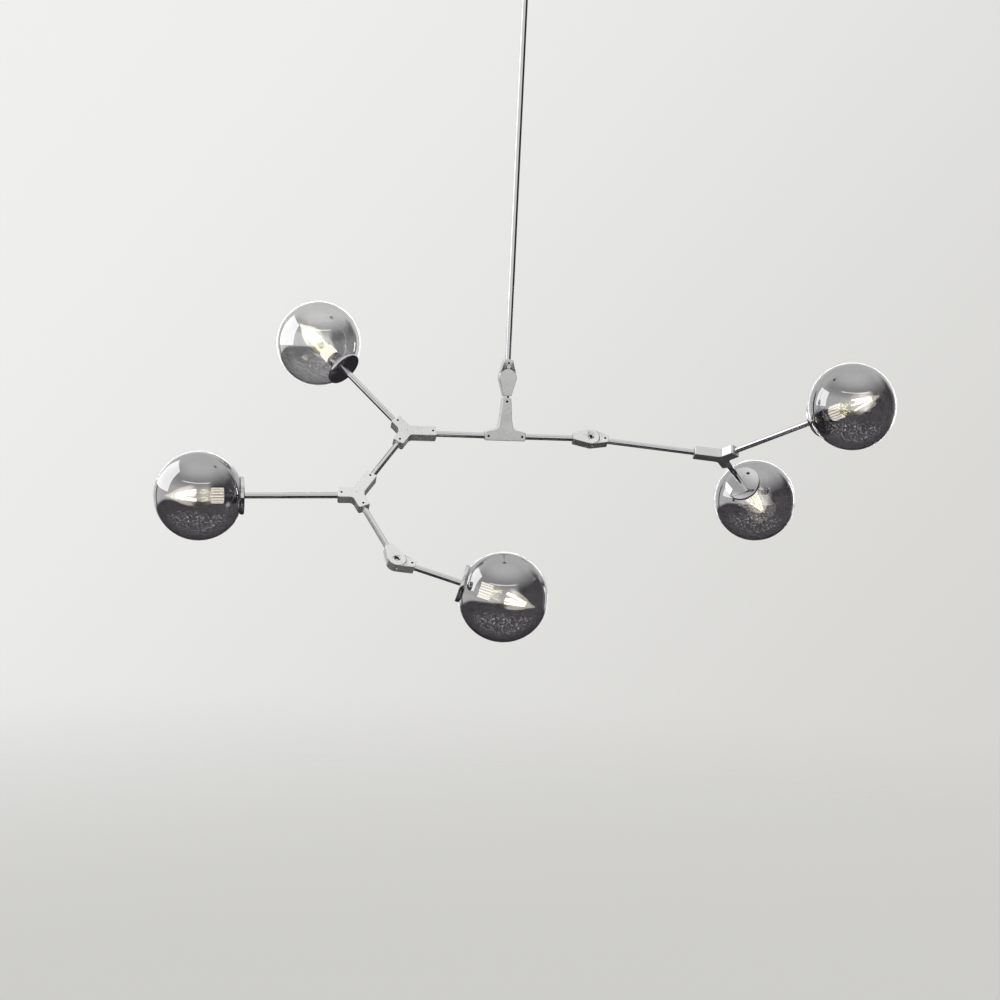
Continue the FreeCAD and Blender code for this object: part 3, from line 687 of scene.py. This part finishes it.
def filament_tree():
    """Like strips that stand in a ring and lean in towards the bulb's tip."""
    tree, given, made = geometry_tree("bulb_filaments", [
        ("Count", "NodeSocketInt", FILAMENT_COUNT), ("Length", "NodeSocketFloat", 0.03),
        ("Radius", "NodeSocketFloat", 0.001), ("Ring", "NodeSocketFloat", 0.006),
        ("Foot", "NodeSocketFloat", 0.0), ("Lean", "NodeSocketFloat", 0.08),
        ("Material", "NodeSocketMaterial", None)])
    link = tree.links.new
    ring = tree.nodes.new("GeometryNodeMeshCircle")
    link(given.outputs["Count"], ring.inputs["Vertices"])
    link(given.outputs["Ring"], ring.inputs["Radius"])
    strip = tree.nodes.new("GeometryNodeMeshCylinder")
    strip.inputs["Vertices"].default_value = FILAMENT_SIDES
    strip.inputs["Side Segments"].default_value = FILAMENT_STEPS
    link(given.outputs["Radius"], strip.inputs["Radius"])
    link(given.outputs["Length"], strip.inputs["Depth"])
    raised = tree.nodes.new("GeometryNodeTransform")
    lift = tree.nodes.new("ShaderNodeCombineXYZ")
    half = tree.nodes.new("ShaderNodeMath")
    half.operation = "MULTIPLY"
    half.inputs[1].default_value = 0.5
    link(given.outputs["Length"], half.inputs[0])
    link(half.outputs[0], lift.inputs["Z"])
    link(strip.outputs["Mesh"], raised.inputs["Geometry"])
    link(lift.outputs["Vector"], raised.inputs["Translation"])
    spot = tree.nodes.new("GeometryNodeInputPosition")
    inward = tree.nodes.new("ShaderNodeVectorMath")
    inward.operation = "SCALE"
    link(spot.outputs["Position"], inward.inputs[0])
    share = tree.nodes.new("ShaderNodeMath")
    share.operation = "DIVIDE"
    link(given.outputs["Lean"], share.inputs[0])
    link(given.outputs["Ring"], share.inputs[1])
    negative = tree.nodes.new("ShaderNodeMath")
    negative.operation = "MULTIPLY"
    negative.inputs[1].default_value = -1.0
    link(share.outputs[0], negative.inputs[0])
    link(negative.outputs[0], inward.inputs["Scale"])
    upward = tree.nodes.new("ShaderNodeVectorMath")
    upward.operation = "ADD"
    upward.inputs[1].default_value = (0.0, 0.0, 1.0)
    link(inward.outputs["Vector"], upward.inputs[0])
    turn = tree.nodes.new("FunctionNodeAlignRotationToVector")
    turn.axis = "Z"
    link(upward.outputs["Vector"], turn.inputs["Vector"])
    stand = tree.nodes.new("GeometryNodeInstanceOnPoints")
    link(ring.outputs["Mesh"], stand.inputs["Points"])
    link(raised.outputs["Geometry"], stand.inputs["Instance"])
    link(turn.outputs["Rotation"], stand.inputs["Rotation"])
    along = tree.nodes.new("GeometryNodeTransform")
    foot = tree.nodes.new("ShaderNodeCombineXYZ")
    link(given.outputs["Foot"], foot.inputs["Z"])
    link(stand.outputs["Instances"], along.inputs["Geometry"])
    link(foot.outputs["Vector"], along.inputs["Translation"])
    smooth = tree.nodes.new("GeometryNodeSetShadeSmooth")
    link(along.outputs["Geometry"], smooth.inputs["Geometry"])
    finish_tree(tree, smooth.outputs["Geometry"], given, made)
    return tree


bulb_filaments = filament_tree()


def filament_material():
    """Phosphor coated strip, glowing warm white, a little brighter in patches."""
    material, tree, shader = new_material("lit_filament", (0.95, 0.85, 0.55))
    shader.inputs["Roughness"].default_value = 0.6
    patches = noise_node(tree, 700.0, 2.0)
    glow = tree.nodes.new("ShaderNodeMix")
    glow.data_type = "RGBA"
    glow.inputs["A"].default_value = (1.0, 0.84, 0.58, 1.0)
    glow.inputs["B"].default_value = (1.0, 0.93, 0.74, 1.0)
    tree.links.new(patches, glow.inputs["Factor"])
    tree.links.new(glow.outputs["Result"], shader.inputs["Emission Color"])
    shader.inputs["Emission Strength"].default_value = 7.0
    return material


lit_filament = filament_material()

# Screw base of the bulb, seen in the recess of the lampholder
BASE_PROFILE = [
    (-0.0450, 0.0), (-0.0450, 0.0030), (-0.0430, 0.0062), (-0.0420, 0.0070),
    (-0.0240, 0.0070), (-0.0230, 0.0066), (-0.0228, 0.0)]
STEM_PROFILE = [
    (-0.0225, 0.0), (-0.0225, 0.0045), (-0.0150, 0.0030), (0.0150, 0.0011), (0.0235, 0.0009),
    (0.0240, 0.0)]
nickel_base = metal("nickel_base", (0.72, 0.69, 0.63), 0.12, 0.25, 150.0, 2000.0)

for number in range(1, 6):
    place = lamp_place(number)
    stem = "lamp_%d_" % number
    body = body_of_node[stem + "globe"]
    mesh = turned_mesh(globe_profile(), place, stem + "blown_globe")
    glass = pale_smoked_glass if number == PALE_GLOBE else smoked_glass
    piece_from(mesh, stem + "blown_globe", body, glass, [stem + "globe"])
    mesh = turned_mesh(CAP_PROFILE, place, stem + "disc")
    piece_from(mesh, stem + "disc", body, polished_chrome, [stem + "cap"])
    mesh = turned_mesh(HOLDER_PROFILE, place, stem + "sleeve")
    piece_from(mesh, stem + "sleeve", body, polished_chrome, [stem + "holder"])
    mesh = turned_mesh(RING_PROFILE, place, stem + "ring")
    cut_flutes(mesh, place)
    piece_from(mesh, stem + "ring", body, opal_ring_painted_glow, [stem + "holder"])
    mesh = turned_mesh(bulb_profile(), place, stem + "envelope", SMALL_SIDES)
    glow_attribute(mesh, place)
    piece_from(mesh, stem + "envelope", body, bulb_glass, [stem + "bulb"])
    mesh = turned_mesh(BASE_PROFILE, place, stem + "base", SMALL_SIDES, closed=False)
    piece_from(mesh, stem + "base", body, nickel_base, [])
    mesh = turned_mesh(STEM_PROFILE, place, stem + "stem", THIN_SIDES, closed=False)
    glow_attribute(mesh, place)
    piece_from(mesh, stem + "stem", body, bulb_glass, [])
    mesh = evaluated_mesh(bulb_filaments, {
        "Count": FILAMENT_COUNT, "Length": FILAMENT_LENGTH, "Radius": FILAMENT_RADIUS,
        "Ring": FILAMENT_RING, "Foot": FILAMENT_FOOT, "Lean": FILAMENT_LEAN,
        "Material": lit_filament}, stem + "filaments")
    mesh.transform(place)
    piece_from(mesh, stem + "filaments", body, lit_filament, [])

# ---------------------------------------------------------------------------------------------
# Studio. A pale floor a room's height below the ceiling and a pale backdrop behind. Two lit
# cloths show in the reflections, and the world gives light by direction.
# ---------------------------------------------------------------------------------------------

FLOOR_Z = -2.6
FLOOR_RADIUS = 7.0
FLOOR_FADE = 2.5
FLOOR_SIDES = 96


def floor_material():
    """A pale matt floor that fades into the backdrop."""
    material, tree, shader = new_material("pale_floor", (0.74, 0.735, 0.715))
    shader.inputs["Roughness"].default_value = 0.9
    shader.inputs["Specular IOR Level"].default_value = 0.2
    coordinates = tree.nodes.new("ShaderNodeTexCoord")
    length = tree.nodes.new("ShaderNodeVectorMath")
    length.operation = "LENGTH"
    tree.links.new(coordinates.outputs["Object"], length.inputs[0])
    fade = tree.nodes.new("ShaderNodeMapRange")
    fade.interpolation_type = "SMOOTHSTEP"
    fade.inputs["From Min"].default_value = FLOOR_FADE
    fade.inputs["From Max"].default_value = FLOOR_RADIUS
    fade.inputs["To Min"].default_value = 1.0
    fade.inputs["To Max"].default_value = 0.0
    tree.links.new(length.outputs["Value"], fade.inputs["Value"])
    tree.links.new(fade.outputs["Result"], shader.inputs["Alpha"])
    return material


def stage_piece(name, mesh, material):
    """Something of the studio, which is no part of the chandelier."""
    mesh.materials.append(material)
    piece = bpy.data.objects.new(name, mesh)
    bpy.context.scene.collection.objects.link(piece)
    return piece


floor_mesh = bpy.data.meshes.new("floor")
disc = bmesh.new()
bmesh.ops.create_circle(disc, cap_ends=True, radius=FLOOR_RADIUS, segments=FLOOR_SIDES)
disc.to_mesh(floor_mesh)
disc.free()
floor = stage_piece("floor", floor_mesh, floor_material())
floor.location = (0, 0, FLOOR_Z)
floor.visible_glossy = False
floor.visible_diffuse = False
floor.visible_transmission = False


def soft_panel(name, corners, strength):
    """An evenly lit cloth that only shows in the reflections."""
    material = bpy.data.materials.new(name)
    material.use_nodes = True
    tree = material.node_tree
    tree.nodes.clear()
    glow = tree.nodes.new("ShaderNodeEmission")
    weave = noise_node(tree, 1.2, 3.0)
    tree.links.new(math_node(tree, "MULTIPLY_ADD", weave, 0.3 * strength, 0.85 * strength),
                   glow.inputs["Strength"])
    target = tree.nodes.new("ShaderNodeOutputMaterial")
    tree.links.new(glow.outputs["Emission"], target.inputs["Surface"])
    mesh = bpy.data.meshes.new(name)
    mesh.from_pydata(corners, [], [(0, 1, 2, 3)])
    panel = stage_piece(name, mesh, material)
    panel.visible_camera = False
    panel.visible_diffuse = False
    panel.visible_transmission = False
    panel.visible_shadow = False


# A tall cloth on the left, and a narrow one behind on the right
soft_panel("left_panel", [(-1.5, -0.45, -0.86), (-1.5, 0.90, -0.86), (-1.5, 0.90, 0.40),
                          (-1.5, -0.45, 0.30)], 2.3)
soft_panel("right_strip", [(1.30, 0.92, -1.08), (1.22, 1.02, -1.08), (1.22, 1.02, -0.62),
                           (1.30, 0.92, -0.62)], 3.0)


def studio_world():
    """Light by direction: pale behind, light grey above, dark below and at the right."""
    world = bpy.data.worlds.new("studio")
    world.use_nodes = True
    tree = world.node_tree
    background = tree.nodes["Background"]
    direction = tree.nodes.new("ShaderNodeTexCoord").outputs["Generated"]
    split = tree.nodes.new("ShaderNodeSeparateXYZ")
    tree.links.new(direction, split.inputs["Vector"])
    x, y, z = split.outputs["X"], split.outputs["Y"], split.outputs["Z"]

    def step(value, start, end, first=0.0, last=1.0):
        node = tree.nodes.new("ShaderNodeMapRange")
        node.interpolation_type = "SMOOTHSTEP"
        for socket, number in zip(("From Min", "From Max", "To Min", "To Max"),
                                  (start, end, first, last)):
            node.inputs[socket].default_value = number
        tree.links.new(value, node.inputs["Value"])
        return node.outputs["Result"]

    def both(*values):
        product = values[0]
        for value in values[1:]:
            product = math_node(tree, "MULTIPLY", product, value)
        return product

    def blend(factor, first, second):
        node = tree.nodes.new("ShaderNodeMix")
        node.data_type = "RGBA"
        tree.links.new(factor, node.inputs["Factor"])
        for socket, colour in (("A", first), ("B", second)):
            if isinstance(colour, tuple):
                node.inputs[socket].default_value = (*colour, 1.0)
            else:
                tree.links.new(colour, node.inputs[socket])
        return node.outputs["Result"]

    # Above: light grey in front, darker half way up, and brightest overhead and behind
    above = blend(step(z, 0.66, 0.99), (0.48, 0.48, 0.48), (0.95, 0.95, 0.945))
    above = blend(step(z, 0.25, 0.60), (0.86, 0.86, 0.855), above)
    rear = both(step(y, -0.05, 0.45), step(z, 0.25, 0.60))
    above = blend(rear, above, (0.85, 0.85, 0.84))
    # The edge of the front cloth, a thin bright line high in front
    line = both(step(z, 0.585, 0.595), step(z, 0.612, 0.622, 1.0, 0.0), step(y, -0.2, -0.35),
                step(x, -0.62, -0.50), step(x, 0.45, 0.60, 1.0, 0.0))
    above = blend(line, above, (2.0, 2.0, 2.0))
    # The right side is dark, up to half way to the top
    right = both(step(x, 0.42, 0.72), step(z, 0.40, 0.78, 1.0, 0.0))
    above = blend(right, above, (0.030, 0.028, 0.031))
    # Behind: the pale backdrop, and in front of it the black edge of the left and right cloths
    behind = blend(step(y, 0.50, 0.72), above, (0.76, 0.76, 0.75))
    edge = both(step(y, 0.585, 0.600), step(y, 0.665, 0.680, 1.0, 0.0),
                step(z, 0.20, 0.32, 1.0, 0.0))
    behind = blend(edge, behind, (0.010, 0.010, 0.010))
    # Below: a dark floor all round, with faint wandering streaks of light on it
    wander = noise_node(tree, 3.2, 2.5, direction)
    fold = math_node(tree, "PINGPONG", math_node(tree, "MULTIPLY", wander, 14.0), 1.0)
    streaks = both(step(fold, 0.90, 1.0), step(z, -0.45, -0.75), step(y, 0.45, 0.0))
    below = blend(streaks, (0.030, 0.027, 0.031), (1.50, 1.45, 1.47))
    depth = math_node(tree, "ADD", z, step(y, -0.2, 0.6, 0.0, 0.10))
    studio = blend(step(depth, -0.19, -0.09), below, behind)

    # What the camera sees: an even pale backdrop, lighter at the upper left
    rise = math_node(tree, "MULTIPLY_ADD", z, 1.0, 0.62)
    fall = math_node(tree, "MULTIPLY_ADD", x, -1.25, rise)
    backdrop = blend(step(fall, -0.05, 1.05), (0.655, 0.648, 0.625), (0.87, 0.87, 0.86))
    # What lights matt surfaces: a pale sky, brightest in front, and no light from below
    path = tree.nodes.new("ShaderNodeLightPath")
    sky = blend(step(y, -0.95, -0.35), (1.35, 1.35, 1.33), (0.80, 0.80, 0.79))
    matt = blend(step(z, 0.0, 0.30), (0.012, 0.012, 0.012), sky)
    studio = blend(path.outputs["Is Diffuse Ray"], studio, matt)
    studio = blend(path.outputs["Is Camera Ray"], studio, backdrop)
    tree.links.new(studio, background.inputs["Color"])
    bpy.context.scene.world = world


studio_world()

# The camera stands in front of the chandelier, looks slightly down and is tipped a little
LENS_MM = 80.5
SENSOR_MM = 36.0
FARTHEST_SEEN = 100.0
CAMERA_AT = Vector((-0.0024, -3.7763, -0.6010))
LOOK_DOWN = math.radians(5.7)
TIP = math.radians(2.7)
camera_data = bpy.data.cameras.new("camera")
camera_data.lens = LENS_MM
camera_data.sensor_width = SENSOR_MM
camera_data.sensor_fit = "HORIZONTAL"
camera_data.clip_end = FARTHEST_SEEN
camera = bpy.data.objects.new("camera", camera_data)
forward = Vector((0, math.cos(LOOK_DOWN), -math.sin(LOOK_DOWN)))
level_up = Vector((0, math.sin(LOOK_DOWN), math.cos(LOOK_DOWN)))
sideways = Vector((1, 0, 0)) * math.cos(TIP) + level_up * math.sin(TIP)
upright = level_up * math.cos(TIP) - Vector((1, 0, 0)) * math.sin(TIP)
stance = Matrix((sideways, upright, -forward)).transposed().to_4x4()
stance.translation = CAMERA_AT
camera.matrix_world = stance
bpy.context.scene.collection.objects.link(camera)
bpy.context.scene.camera = camera
bpy.context.scene.view_settings.view_transform = "Standard"
